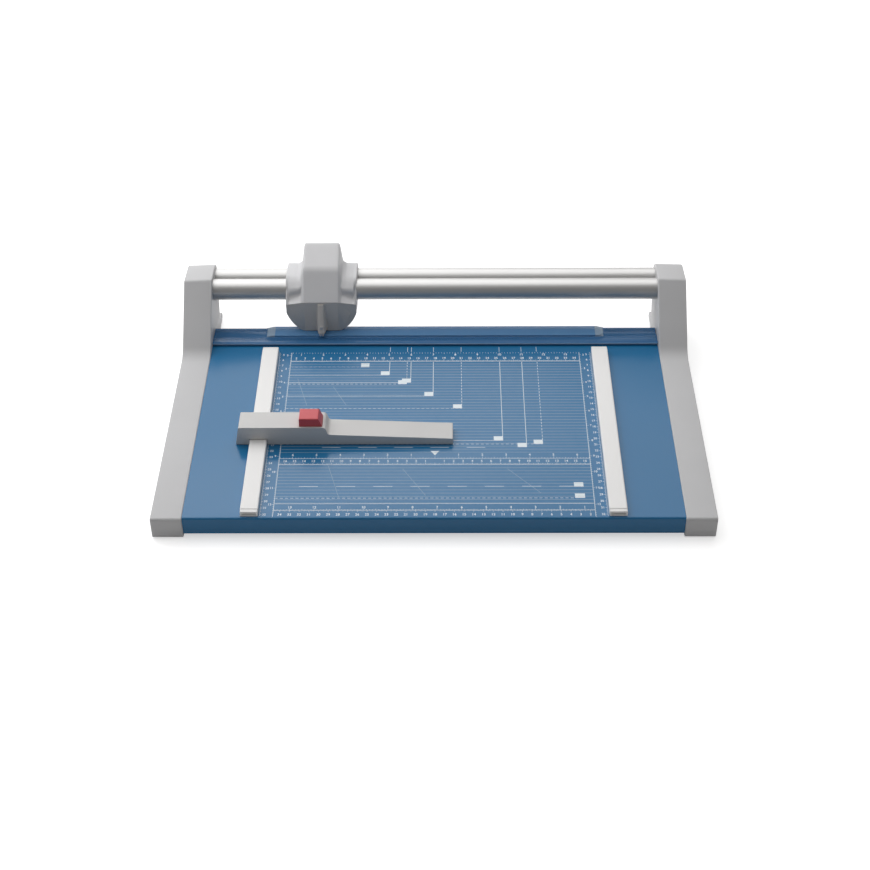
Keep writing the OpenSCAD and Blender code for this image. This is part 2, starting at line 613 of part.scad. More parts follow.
module blade_guard() color("dimgray") on_head() {
    difference() {
        intersection() {
            dish(guard_r, cover_front, guard_back, 3);
            translate([0, 0, -past]) linear_extrude(guard_mid * 2) guard_plan(0);
            along_y(cover_front - past, guard_back) guard_face(0);
        }
        intersection() {
            dish(guard_r - guard_wall, cover_front, guard_back + past, 3);
            translate([0, 0, -past]) linear_extrude(guard_mid * 2) guard_plan(guard_wall);
            block(-guard_r, guard_r, cover_front - past, guard_back + past, guard_low - past, seam_z + past);
        }
        // Only the front wall comes down in front of the strip's rib
        block(-guard_r, guard_r, cover_front + guard_wall, guard_back + past, guard_low - past, guard_z);
    }
    both_sides() difference() {
        rod_y(3.6, cover_front + guard_wall, arm_y - 3.8, guard_screw_x, guard_screw_z);
        rod_y(small_r + run_gap, arm_y - guard_screw_l, arm_y, guard_screw_x, guard_screw_z);
    }
    // The keel that holds the presser foot
    difference() {
        hull() {
            translate([0, cover_front + 0.5, seam_z - 3]) cylinder(r = nose_top_w / 2, h = 0.5, $fn = 32);
            translate([0, nose_y + nose_tip_r, nose_z]) cylinder(r = nose_tip_r, h = 1.5, $fn = 32);
            translate([-nose_w / 2, cover_front, nose_z]) cube([nose_w, 1, 1.5]);
        }
        block(-nose_w, nose_w, cover_front + guard_wall - tiny, 10, 0, seam_z);
        block(-stem_slot / 2, stem_slot / 2, foot_front - seat_gap, cover_front + guard_wall + past, nose_z - past,
            stem_top + seat_gap);
    }
}

foot_front = nose_y + 1.6;

// The presser foot: a stem in the keel and a rounded pad below it, grooved down its front
module presser_foot() color("lightgray") on_head() {
    along_y(foot_front, cover_front - seat_gap) polygon(rounded([[-stem_w / 2, nose_z - 1.5, 0],
        [stem_w / 2, nose_z - 1.5, 0], [stem_w / 2, stem_top, 0.5], [-stem_w / 2, stem_top, 0.5]]));
    difference() {
        along_y(nose_y + 0.3, cover_front - seat_gap) polygon(rounded([[-foot_w / 2, foot_tip_z, 2],
            [foot_w / 2, foot_tip_z, 2], [foot_w / 2, nose_z - seat_gap, 0.3], [-foot_w / 2, nose_z - seat_gap, 0.3]]));
        rod_z(1, foot_tip_z - past, nose_z, 0, nose_y + 0.3);
    }
}

module carriage() color("darkslategray") on_head() {
    arm_w = 13;
    web_z = cover_foot + 0.8;
    half = carriage_half;
    difference() {
        union() {
            for (t = [front_tube, rear_tube]) rod_x(sleeve_r, -half, half, t[0], t[1]);
            block(-half, half, tube_y - 4, rear_tube[0] + 10, web_z, rear_tube[1]);
            block(-half, half, rear_tube[0] + 9, cover_back - cover_wall - 0.35, web_z, web_z + 4.4);
            // The arm that holds the blade's axle
            along_y(arm_y, arm_y + 9) union() {
                translate([0, axle_z]) circle(r = arm_w - 2);
                polygon([[-arm_w + 2, axle_z], [arm_w - 2, axle_z], [arm_w, tube_z - 8], [-arm_w, tube_z - 8]]);
            }
            // Ears for the blade guard
            both_sides() along_y(arm_y - 3.5, arm_y + 2.5) polygon(rounded([
                [guard_screw_x - 6, guard_screw_z - 5, 3], [guard_screw_x + 5.5, guard_screw_z - 5, 3],
                [guard_screw_x + 5.5, tube_z - 5, 0], [guard_screw_x - 6, tube_z - 5, 0]]));
        }
        for (t = [front_tube, rear_tube]) {
            rod_x(tube_r + run_gap, -half - past, half + past, t[0], t[1]);
            rod_x(tube_r + 0.6, -half * 0.5, half * 0.5, t[0], t[1]);
        }
        rod_y(axle_r + run_gap, arm_y - past, arm_y + 9 + past, 0, axle_z);
        both_sides() rod_y(1.8, arm_y - 4, arm_y + 6, guard_screw_x, guard_screw_z);
        for (x = cover_screw_x) rod_y(1.5 + run_gap, cover_back - cover_wall - 9, cover_back, x, cover_screw_z);
        // The block is lightened from below between its ribs
        for (i = [-2 : 2]) block(i * 14 - 5, i * 14 + 5, arm_y + 12, rear_tube[0] + 6, web_z - past, web_z + 1.6);
    }
}

module guard_screws() color("silver") on_head() both_sides()
    translate([guard_screw_x, arm_y + 2.5, guard_screw_z]) rotate([90, 0, 0])
        screw(small_r, guard_screw_l, small_r * 2.1, small_r * 1.5);

module cover_screws() color("silver") on_head() for (x = cover_screw_x)
    translate([x, cover_back - 0.8, cover_screw_z]) rotate([90, 0, 0]) screw(1.5, 8.5, 3.2, 1.4);

hub_front = seat_gap - 3.6;
hub_back = arm_y - 2;
hub_r = 10;
sleeve_out = 6.95;
disc_y = seat_gap;

module blade_axle() color("silver") on_head() {
    rod_y(axle_r, hub_front - seat_gap, arm_y + 9, 0, axle_z);
    difference() {
        rod_y(5.2, hub_front - seat_gap - 2, hub_front - seat_gap, 0, axle_z);
        translate([0, hub_front - seat_gap - 1, axle_z]) rotate([90, 0, 0]) cylinder(r = 2.4, h = 2, $fn = 6);
    }
}

module blade_spring() color("silver") on_head() translate([0, 0, axle_z]) rotate([-90, 0, 0])
    rotate_extrude() polygon([[axle_r + 0.2, arm_y - 0.65], [axle_r + 0.2, arm_y - 0.2], [axle_r + 3.4, arm_y - 1.2],
        [axle_r + 3.4, arm_y - 1.65]]);

module cutting_disc() color("silver") on_head() translate([0, 0, axle_z]) rotate([-90, 0, 0])
    rotate_extrude($fn = 160) polygon([[sleeve_out + run_gap, disc_y], [disc_d / 2 - 0.1, disc_y],
        [disc_d / 2, disc_y + 0.1], [disc_d / 2 - 2.2, disc_y + disc_t], [sleeve_out + run_gap, disc_y + disc_t]]);

module blade_hub() color("dimgray") on_head() translate([0, 0, axle_z]) rotate([-90, 0, 0])
    rotate_extrude() polygon([[axle_r + run_gap, hub_front], [hub_r - 1, hub_front], [hub_r, hub_front + 1],
        [hub_r, disc_y], [sleeve_out, disc_y], [sleeve_out, hub_back], [axle_r + run_gap, hub_back]]);

module blade_nut() color("gray") on_head() translate([0, 0, axle_z]) rotate([-90, 0, 0]) difference() {
    rotate_extrude() polygon([[sleeve_out + run_gap, disc_y + disc_t], [hub_r + 0.6, disc_y + disc_t],
        [hub_r + 0.6, hub_back - 1.6], [hub_r - 0.2, hub_back - 0.8], [sleeve_out + run_gap, hub_back - 0.8]]);
    for (a = [0 : 60 : 300]) rotate([0, 0, a]) translate([hub_r - 1.4, 0, hub_back - 2.6]) cylinder(r = 0.8, h = 3, $fn = 24);
}

// Backstop

block_right = -block_left + block_l;
arm_right = -block_left + back_l;
notch_in = stop_x - move_gap;
notch_out = stop_x + stop_w + move_gap;
button_right = button_x + button_l;
pocket_z = back_lift + back_h;
cavity_top = pocket_z - back_wall;
spring_r = 3.4;
spring_wire = 0.5;
spring_x = button_x + button_l / 2;
spring_y = button_front + button_d / 2;
post_z = 15;

module backstop_arm() color("gainsboro") placed() {
    y0 = -back_y;
    y1 = -back_y + back_d;
    z0 = back_lift;
    difference() {
        along_y(y0, y1) polygon(rounded([[-block_left, z0, 0.5], [arm_right, z0, 0.5], [arm_right, z0 + arm_end_h, 1],
            [block_right + 2.6, z0 + arm_start_h, 3], [block_right - 0.6, pocket_z, 4],
            [-block_left + block_draft, pocket_z, 1.5]]));
        // The channel over the side stop
        block(-notch_out, -notch_in, y0 - past, y1 + past, -past, stop_h + move_gap * 2);
        // Room for the lock under the block
        block(-notch_in + 2.4, cavity_right, y0 + back_wall, y1 - back_wall, -past, cavity_top);
        // The block's left end and the arm are hollow from below
        block(-block_left + 4, -notch_out - 2, y0 + back_wall, y1 - back_wall, -past, stop_h);
        along_y(y0 + back_wall, y1 - back_wall) polygon([[block_right + 6, z0 - past], [arm_right - 2, z0 - past],
            [arm_right - 2, z0 + arm_end_h - back_wall], [block_right + 6, z0 + arm_start_h - back_wall]]);
        // The button's opening
        block(button_x - move_gap, button_right + move_gap, button_front - move_gap,
            button_front + button_d + move_gap, cavity_top - past, pocket_z + past);
        // The shoe comes out towards the side stop
        block(-notch_in - past, -notch_in + 3, spring_y - shoe_half - move_gap, spring_y + shoe_half + move_gap,
            back_lift + base_t + 0.1, shoe_z + shoe_h + move_gap);
    }
    // Ribs across the arm's hollow
    for (i = [1 : 5]) let (x = block_right + 6 + i * (back_l - block_l - 8) / 6)
        block(x - 0.8, x + 0.8, y0 + back_wall / 2, y1 - back_wall / 2, z0, z0 + arm_end_h - back_wall / 2);
    // Bosses for the base plate's screws
    for (p = base_screws) difference() {
        union() {
            rod_z(boss_r, back_lift + base_t + 0.1, p[2], p[0], p[1]);
            block(p[0] - 1, p[0] + 1, min(p[1], p[3]), max(p[1], p[3]), back_lift + base_t + 0.1, p[2]);
        }
        rod_z(small_r + run_gap, back_lift, back_lift + 11, p[0], p[1]);
    }
}

// Where the base plate is screwed on: X, Y, the top of the boss, and the wall that its web reaches
boss_r = 2.8;
boss_low = post_z - button_travel - 0.5;
base_screws = [
    [-notch_in + 26, -back_y + back_wall + 3, cavity_top + tiny, -back_y + back_wall - tiny],
    [-notch_in + 26, -back_y + back_d - back_wall - 3.2, cavity_top + tiny, -back_y + back_d - back_wall + tiny],
    [cavity_right - 4.1, -back_y + back_d - back_wall - 3, boss_low, -back_y + back_d - back_wall + tiny]];

module backstop_base() color("gray") placed() difference() {
    union() {
        block(-notch_in + 2.4 + seat_gap, cavity_right - seat_gap, -back_y + back_wall + seat_gap,
            -back_y + back_d - back_wall - seat_gap, back_lift, back_lift + base_t);
        // The spigot that centres the spring
        rod_z(spring_r - spring_wire - 0.4, back_lift, back_lift + base_t + 3, spring_x, spring_y);
    }
    for (p = base_screws) {
        rod_z(1.6, -past, back_lift + base_t + past, p[0], p[1]);
        rod_z(3.1, -past, back_lift + 0.9, p[0], p[1]);
    }
}

module backstop_screws() color("dimgray") placed() for (p = base_screws)
    translate([p[0], p[1], back_lift + 0.9]) screw(small_r, 9, small_r * 2, 0.8);

// The button: its cap stands above the block, its flange stays below the roof
module stop_button() color("firebrick") placed() {
    z_roof = cavity_top - move_gap;
    top = pocket_z + button_h;
    difference() {
        intersection() {
            along_y(button_front - past, button_front + button_d + past) polygon(rounded([
                [button_x, post_z, 0], [button_right, post_z, 0], [button_right, pocket_z + 0.4, 1],
                [button_right - button_skirt, top, 1.6], [button_x, top, 1.6]]));
            along_x(button_x - past, button_right + past) polygon(rounded([
                [button_front, post_z, 0], [button_front + button_d, post_z, 0],
                [button_front + button_d - 0.6, top, 1.6], [button_front, top, 1.6]]));
        }
        block(button_x + 1.8, button_right - 1.8, button_front + 1.8, button_front + button_d - 1.8, post_z - past,
            post_z + 4);
    }
    // The flange, open in the middle for the spring
    difference() {
        block(button_x - 1.4, button_right + 1.0, button_front, button_front + button_d, post_z, z_roof);
        block(button_x + 1.8, button_right - 1.8, button_front + 1.8, button_front + button_d - 1.8, post_z - past,
            post_z + 4);
        block(button_x - 2, button_right + 2, button_front - past, button_front + 0.6, z_roof - 8, z_roof - 2);
    }
    // The wedge that draws the shoe back
    along_y(spring_y - wedge_half, spring_y + wedge_half) polygon([[wedge_x, wedge_z], [wedge_x + 1.6, wedge_z],
        [wedge_x + 1.6 + (post_z + tiny - wedge_z) * wedge_slope, post_z + tiny], [wedge_x, post_z + tiny]]);
}

module button_spring() color("silver") placed() {
    turns = 5;
    rings = 8;
    sides = 6;
    z0 = back_lift + base_t + spring_wire;
    z1 = post_z + 4 - spring_wire - 0.2;
    n = turns * rings;
    path = [for (i = [0 : n]) let (a = 360 * i / rings)
        [spring_x + spring_r * cos(a), spring_y + spring_r * sin(a), blend(z0, z1, i / n)]];
    points = [for (i = [0 : n]) let (a = 360 * i / rings) for (k = [0 : sides - 1]) let (b = 360 * k / sides)
        path[i] + [cos(a) * cos(b), sin(a) * cos(b), sin(b)] * spring_wire];
    walls = [for (i = [0 : n - 1]) for (k = [0 : sides - 1]) let (j = (k + 1) % sides)
        each [[i * sides + k, i * sides + j, (i + 1) * sides + k], [i * sides + j, (i + 1) * sides + j, (i + 1) * sides + k]]];
    polyhedron(points, concat([[for (k = [sides - 1 : -1 : 0]) k]], walls,
        [[for (k = [0 : sides - 1]) n * sides + k]]), convexity = 6);
}

module lock_shoe() color("dimgray") placed() {
    x0 = -stop_x + move_gap;
    x1 = spring_x - spring_r - spring_wire - shoe_pull - move_gap;
    cam = wedge_x + 1.6 + move_gap;
    difference() {
        along_y(spring_y - shoe_half, spring_y + shoe_half) polygon(rounded([[x0, shoe_z, 0.6], [x1, shoe_z, 0.4],
            [x1, shoe_z + shoe_h, 0.6], [x0, shoe_z + shoe_h, 0.6]]));
        // The window with the sloping end that the button's wedge slides down
        along_y(spring_y - wedge_half - move_gap, spring_y + wedge_half + move_gap) polygon([
            [wedge_x - move_gap - shoe_pull, shoe_z - past],
            [cam + (shoe_z - past - wedge_z) * wedge_slope, shoe_z - past],
            [cam + (shoe_z + shoe_h + past - wedge_z) * wedge_slope, shoe_z + shoe_h + past],
            [wedge_x - move_gap - shoe_pull, shoe_z + shoe_h + past]]);
    }
    // The rubber face that grips the side stop is ribbed
    for (i = [-1 : 1])
        block(x0 - 0.1, x0 + 0.4, spring_y + i * 2 - 0.5, spring_y + i * 2 + 0.5, shoe_z + 0.6, shoe_z + shoe_h - 0.6);
}

table_top();
rear_beam();
counter_blade();
counter_screws();
left_end_frame();
right_end_frame();
table_screws();
rubber_feet();
front_guide_tube();
rear_guide_tube();
tube_plugs();
tube_screws();
left_side_stop();
right_side_stop();
stop_end_caps();
stop_screws();
clamp_springs();
clamp_strip();
head_cover();
blade_guard();
carriage();
guard_screws();
cover_screws();
blade_axle();
blade_spring();
presser_foot();
cutting_disc();
blade_hub();
blade_nut();
backstop_arm();
backstop_base();
backstop_screws();
button_spring();
stop_button();
lock_shoe();
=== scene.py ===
import json
import math

import bmesh
import bpy
from mathutils import Matrix, Vector


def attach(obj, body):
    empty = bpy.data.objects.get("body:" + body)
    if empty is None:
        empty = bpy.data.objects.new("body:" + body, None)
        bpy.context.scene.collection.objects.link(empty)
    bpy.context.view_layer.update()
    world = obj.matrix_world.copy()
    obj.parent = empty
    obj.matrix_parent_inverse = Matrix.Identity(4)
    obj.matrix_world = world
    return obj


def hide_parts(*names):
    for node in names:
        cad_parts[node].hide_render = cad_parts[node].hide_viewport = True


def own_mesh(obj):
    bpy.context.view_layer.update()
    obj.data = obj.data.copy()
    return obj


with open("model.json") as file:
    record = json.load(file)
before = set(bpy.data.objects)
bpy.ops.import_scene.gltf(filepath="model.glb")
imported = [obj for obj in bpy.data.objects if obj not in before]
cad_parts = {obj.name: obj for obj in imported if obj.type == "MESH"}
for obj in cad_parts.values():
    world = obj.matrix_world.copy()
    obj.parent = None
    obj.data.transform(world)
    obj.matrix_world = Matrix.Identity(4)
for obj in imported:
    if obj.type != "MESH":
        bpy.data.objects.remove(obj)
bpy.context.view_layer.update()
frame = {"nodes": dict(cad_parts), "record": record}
record = frame["record"]
slots = {part["node"]: part["material_slot"] for part in record["subparts"]}
homes = {node: body for body, nodes in record["behaviour"]["bodies"].items() for node in nodes}
print("frame loaded:", len(frame["nodes"]), "nodes")

# Everything is drawn in millimetres from the cut line and the table top
mm = 0.001
table = {"cutLine": 134, "top": 26.5}


def spot(x, y, z):
    return Vector((x * mm, (y + table["cutLine"]) * mm, (z + table["top"]) * mm))


def blend(a, b, share):
    return a + (b - a) * share


def ease(t):
    u = min(1, max(0, t))
    return u * u * (3 - 2 * u)


# Shader sockets that can be added and multiplied like numbers

def addNode(tree, kind, output, settings=None, **values):
    node = tree.nodes.new("ShaderNode" + kind)
    for key, value in (settings or {}).items():
        setattr(node, key, value)
    for key, value in values.items():
        name = key.replace("_", " ")
        numbered = name.startswith("no") and name[2:].isdigit()  # no0 is the first input
        feed(tree, node.inputs[int(name[2:]) if numbered else name], value)
    return Wire(tree, node.outputs[output])


def feed(tree, target, value):
    if isinstance(value, Wire):
        tree.links.new(value.socket, target)
    else:
        target.default_value = value


class Wire:
    def __init__(self, tree, socket):
        self.tree = tree
        self.socket = socket

    def combine(self, kind, other=0.0):
        return addNode(self.tree, "Math", "Value", {"operation": kind}, no0=self, no1=other)

    def __add__(self, other):
        return self.combine("ADD", other)

    __radd__ = __add__

    def __sub__(self, other):
        return self.combine("SUBTRACT", other)

    def __rsub__(self, other):
        return self.combine("MULTIPLY", -1.0) + other

    def __mul__(self, other):
        return self.combine("MULTIPLY", other)

    __rmul__ = __mul__

    def __abs__(self):
        return self.combine("ABSOLUTE")

    def capped(self, level):
        return self.combine("MINIMUM", level)

    # A noise that swings by the given amount about nothing
    def swing(self, amount):
        return (self - 0.5) * amount

    def ramp(self, low, high):
        return addNode(self.tree, "MapRange", "Result", {"interpolation_type": "SMOOTHSTEP"}, Value=self,
                       From_Min=low, From_Max=high)

    # From 0 to 1 across a border that lies at a place in millimetres
    def border(self, place, blur):
        return self.ramp((place - blur / 2) * mm, (place + blur / 2) * mm)


def rgba(colour):
    return (colour[0], colour[1], colour[2], 1.0)


def shade(colour, share):
    return tuple(part * share for part in colour)


noiseDetail = {"plain": 2.0, "rich": 3.0}


class Surface:
    def __init__(self, name):
        self.material = bpy.data.materials.new(name)
        self.material.use_nodes = True
        self.tree = self.material.node_tree
        self.shader = self.tree.nodes["Principled BSDF"]
        self.place = self.node("TexCoord", "Object")

    def node(self, kind, output, settings=None, **values):
        return addNode(self.tree, kind, output, settings, **values)

    def axis(self, name):
        return self.node("SeparateXYZ", name, None, Vector=self.place)

    def scaled(self, factors):
        return self.node("VectorMath", "Vector", {"operation": "MULTIPLY"}, no0=self.place, no1=factors)

    def noise(self, scale, detail="plain", vector=None):
        place = vector or self.place
        return self.node("TexNoise", "Fac", None, Vector=place, Scale=scale, Detail=noiseDetail[detail])

    def tint(self, share, low, high):
        a, b = (end if isinstance(end, Wire) else rgba(end) for end in (low, high))
        return self.node("Mix", 2, {"data_type": "RGBA"}, no0=share, no6=a, no7=b)

    def bump(self, height, depth, strength):
        return self.node("Bump", "Normal", None, Height=height, Distance=depth, Strength=strength)

    def set(self, **values):
        for key, value in values.items():
            isColour = isinstance(value, tuple) and len(value) == 3
            feed(self.tree, self.shader.inputs[key.replace("_", " ")], rgba(value) if isColour else value)
        return self.material


# Finishes. Scales are noise cells per metre, swings are in roughness and depths are in metres

plastic = {"spark": 5200.0, "mottle": 1300.0, "flow": 16.0, "flowBand": (0.3, 0.7), "flowShare": 0.75,
           "rough": 0.46, "sparkSwing": 0.12, "flowSwing": 0.06, "spread": 0.025, "mottleHeight": 0.6,
           "depth": 0.00002, "bump": 0.35, "shine": 0.32}


def mouldedPlastic(name, colour, rough=plastic["rough"], spread=plastic["spread"]):
    s = Surface(name)
    spark = s.noise(plastic["spark"])
    mottle = s.noise(plastic["mottle"], "rich")
    flow = s.noise(plastic["flow"], "rich")
    patches = flow.ramp(*plastic["flowBand"]) * plastic["flowShare"] + mottle * (1 - plastic["flowShare"])
    return s.set(Base_Color=s.tint(patches, shade(colour, 1 - spread), shade(colour, 1 + spread)),
                 Roughness=rough + spark.swing(plastic["sparkSwing"]) + flow.swing(plastic["flowSwing"]),
                 Normal=s.bump(spark + mottle * plastic["mottleHeight"], plastic["depth"], plastic["bump"]),
                 Specular_IOR_Level=plastic["shine"])


tubeFinish = {"drawn": 900.0, "grain": (0.5, 40, 40), "pores": 4200.0, "smear": 22.0, "run": (0.3, 1, 1),
              "drawnShare": 0.6, "dark": 0.95, "metal": 0.85, "rough": 0.5, "drawnSwing": 0.1,
              "smearSwing": 0.05, "poreHeight": 0.3, "depth": 0.000008, "bump": 0.3, "shine": 0.3}


def satinTube(name, colour):
    s = Surface(name)
    t = tubeFinish
    drawn = s.noise(t["drawn"], "rich", s.scaled(t["grain"]))
    pores = s.noise(t["pores"])
    smear = s.noise(t["smear"], "plain", s.scaled(t["run"]))
    streaks = drawn * t["drawnShare"] + smear * (1 - t["drawnShare"])
    return s.set(Base_Color=s.tint(streaks, shade(colour, t["dark"]), colour), Metallic=t["metal"],
                 Roughness=t["rough"] + drawn.swing(t["drawnSwing"]) + smear.swing(t["smearSwing"]),
                 Normal=s.bump(drawn + pores * t["poreHeight"], t["depth"], t["bump"]),
                 Specular_IOR_Level=t["shine"])


metal = {"streak": 900.0, "along": (1, 60, 60), "smear": 24.0, "dark": 0.9, "streakSwing": 0.16,
         "smearSwing": 0.06, "depth": 0.00001, "bump": 0.3}


def brushedMetal(name, colour, rough, along=metal["along"]):
    s = Surface(name)
    streak = s.noise(metal["streak"], "rich", s.scaled(along))
    smear = s.noise(metal["smear"])
    return s.set(Base_Color=s.tint(streak, shade(colour, metal["dark"]), colour), Metallic=1.0,
                 Roughness=rough + streak.swing(metal["streakSwing"]) + smear.swing(metal["smearSwing"]),
                 Normal=s.bump(streak, metal["depth"], metal["bump"]))


matt = {"grain": 2600.0, "dark": 0.7, "rough": 0.72, "grainRough": 0.15, "depth": 0.00003, "bump": 0.5,
        "shine": 0.3}


def rubber(name, colour):
    s = Surface(name)
    grain = s.noise(matt["grain"], "rich")
    return s.set(Base_Color=s.tint(grain, shade(colour, matt["dark"]), colour),
                 Roughness=matt["rough"] + grain * matt["grainRough"],
                 Normal=s.bump(grain, matt["depth"], matt["bump"]), Specular_IOR_Level=matt["shine"])


gloss = {"peel": 420.0, "fine": 3800.0, "cloud": 7.0, "rough": 0.21, "fineSwing": 0.06, "cloudSwing": 0.04,
         "fineHeight": 0.2, "depth": 0.000008, "bump": 0.35, "shine": 0.4}


def enamel(name, low, high):
    s = Surface(name)
    peel = s.noise(gloss["peel"])
    fine = s.noise(gloss["fine"])
    cloud = s.noise(gloss["cloud"])
    rough = gloss["rough"] + fine.swing(gloss["fineSwing"]) + cloud.swing(gloss["cloudSwing"])
    return s.set(Base_Color=s.tint(cloud, low, high), Roughness=rough,
                 Normal=s.bump(peel + fine * gloss["fineHeight"], gloss["depth"], gloss["bump"]),
                 Specular_IOR_Level=gloss["shine"])


printInk = {"screen": 2400.0, "worn": 30.0, "dark": 0.94, "rough": 0.42, "screenSwing": 0.1,
            "holes": (0.1, 0.45), "thinning": 0.15, "shine": 0.3}


def ink(name, colour, cover):
    s = Surface(name)
    screen = s.noise(printInk["screen"], "rich")
    worn = s.noise(printInk["worn"], "rich")
    thinning = printInk["thinning"]
    return s.set(Base_Color=s.tint(worn, shade(colour, printInk["dark"]), colour),
                 Roughness=printInk["rough"] + screen.swing(printInk["screenSwing"]),
                 Alpha=(screen.ramp(*printInk["holes"]) * thinning + (1 - thinning)) * cover,
                 Specular_IOR_Level=printInk["shine"])


# The strip is clear blue. A painted reflection makes its raised rib paler, and painted highlights make
# the rib's sloping ends and its front lip palest. Its places and blurs are in millimetres
strip = {"ribEnd": 187.3, "slopeEnd": 196.7, "endBlur": 1.0, "ribFront": -19.7, "ribBlur": 0.6,
         "lipBack": -32.55, "lipBlur": 0.5, "drawn": 500.0, "grain": (0.3, 30, 30), "slopeShare": 0.8,
         "lipShare": 0.35, "ribShare": 0.7, "ribStreak": 0.4, "rough": 0.2, "cover": 0.72, "streak": 0.06,
         "depth": 0.00001, "bump": 0.4, "shine": 0.35}


# The second colour is a painted reflection on the rib; the third is a painted highlight on the rib's
# sloping ends and front lip
def clearStrip(name, flat, ribReflectionColour, end):
    s = Surface(name)
    drawn = s.noise(strip["drawn"], "plain", s.scaled(strip["grain"]))
    across = abs(s.axis("X"))
    pastRib = across.border(strip["ribEnd"], strip["endBlur"])
    # Painted highlight on the rib's sloping ends, where light would catch the clear plastic
    slopeHighlightMask = pastRib * (1 - across.border(strip["slopeEnd"], strip["endBlur"]))
    back = s.axis("Y").border(strip["ribFront"] + table["cutLine"], strip["ribBlur"])
    # Painted highlight along the front lip: a thin pale band where light would catch its edge
    lip = 1 - s.axis("Y").border(strip["lipBack"] + table["cutLine"], strip["lipBlur"])
    # Painted reflection on the raised rib, streaked by the drawn grain
    ribReflectionMask = back * (1 - pastRib) * (drawn * strip["ribStreak"] + strip["ribShare"])
    colour = s.tint(slopeHighlightMask * back * strip["slopeShare"], s.tint(ribReflectionMask, flat, ribReflectionColour), end)
    streak = drawn * strip["streak"]
    return s.set(Base_Color=s.tint(lip * strip["lipShare"], colour, end), Roughness=strip["rough"] + streak,
                 Alpha=strip["cover"] + streak, Normal=s.bump(drawn, strip["depth"], strip["bump"]),
                 Specular_IOR_Level=strip["shine"])


evenGrain = (1, 1, 1)
turnedGrain = (1, 60, 1)
finishes = {
    "frame_plastic": mouldedPlastic("frame_grey", (0.54, 0.54, 0.55)),
    "cover_plastic": mouldedPlastic("cover_grey", (0.62, 0.62, 0.635)),
    "guard_plastic": mouldedPlastic("guard_grey", (0.60, 0.565, 0.53), 0.45),
    "backstop_plastic": mouldedPlastic("backstop_grey", (0.61, 0.605, 0.60)),
    "stop_plastic": mouldedPlastic("stop_white", (0.86, 0.855, 0.85), 0.48, spread=0.01),
    "cap_plastic": mouldedPlastic("cap_white", (0.80, 0.80, 0.795), 0.45, spread=0.01),
    "dark_plastic": mouldedPlastic("carriage_black", (0.035, 0.035, 0.038), 0.4),
    "hub_plastic": mouldedPlastic("hub_grey", (0.09, 0.09, 0.095), 0.4),
    "foot_plastic": mouldedPlastic("presser_grey", (0.56, 0.56, 0.57), 0.3),
    "button_plastic": mouldedPlastic("button_red", (0.56, 0.085, 0.098), 0.34, spread=0.05),
    "table_paint": enamel("table_blue", (0.011, 0.136, 0.304), (0.014, 0.146, 0.325)),
    "tube_steel": satinTube("tube_satin", (0.545, 0.541, 0.535)),
    "beam_steel": brushedMetal("beam_zinc", (0.55, 0.56, 0.58), 0.38),
    "blade_steel": brushedMetal("blade_ground", (0.62, 0.63, 0.65), 0.2, evenGrain),
    "screw_steel": brushedMetal("screw_zinc", (0.5, 0.5, 0.52), 0.32, evenGrain),
    "spring_steel": brushedMetal("spring_wire", (0.5, 0.5, 0.52), 0.28, evenGrain),
    "axle_steel": brushedMetal("axle_turned", (0.6, 0.6, 0.62), 0.18, turnedGrain),
    "foot_rubber": rubber("foot_black", (0.03, 0.03, 0.03)),
    "shoe_rubber": rubber("shoe_black", (0.04, 0.04, 0.04)),
    # Clear strip: its own blue, then a painted reflection colour for the rib and a painted highlight colour
    "clear_strip": clearStrip("strip_clear", (0.05, 0.17, 0.37), (0.13, 0.32, 0.60), (0.42, 0.55, 0.68)),
}
inks = {"bright": ink("ink_white", (0.84, 0.91, 0.96), 0.95),
        "pale": ink("ink_pale", (0.50, 0.67, 0.82), 0.56)}
for node, source in frame["nodes"].items():
    source.data.materials.clear()
    source.data.materials.append(finishes[slots[node]])
print("finishes made:", len(finishes) + len(inks))


# Meshes

# Widths are in millimetres. Faces that meet at less than smoothTo degrees run into each other, and the edge
# between faces that meet at breakFrom or more is broken
edges = {"width": 0.25, "headWidth": 0.3, "segments": 2, "breakFrom": 48, "smoothTo": 32, "flatTo": 0.4,
         "weld": 0.002}


def addObject(name, mesh, material):
    piece = bpy.data.objects.new(name, mesh)
    bpy.context.scene.collection.objects.link(piece)
    mesh.materials.append(material)
    return piece


def soften(mesh, angle):
    mesh.polygons.foreach_set("use_smooth", [True] * len(mesh.polygons))
    mesh.set_sharp_from_angle(angle=math.radians(angle))


def breakEdges(piece, width):
    edge = piece.modifiers.new("edge", "BEVEL")
    edge.width = width * mm
    edge.segments = edges["segments"]
    edge.limit_method = "ANGLE"
    edge.angle_limit = math.radians(edges["breakFrom"])
    edge.harden_normals = True


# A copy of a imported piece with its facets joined, its curves smooth and its edges broken
def refine(node):
    source = frame["nodes"][node]
    copied = bmesh.new()
    copied.from_mesh(source.data)
    copied.transform(source.matrix_world)
    bmesh.ops.remove_doubles(copied, verts=copied.verts, dist=edges["weld"] * mm)
    flat = math.radians(edges["flatTo"])
    bmesh.ops.dissolve_limit(copied, angle_limit=flat, verts=copied.verts, edges=copied.edges)
    mesh = bpy.data.meshes.new(node + "_look")
    copied.to_mesh(mesh)
    copied.free()
    piece = addObject(node + "_look", mesh, finishes[slots[node]])
    soften(mesh, edges["smoothTo"])
    breakEdges(piece, edges["width"])
    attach(piece, homes[node])
    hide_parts(node)
    return piece


# Camera, from the cut line and the table top

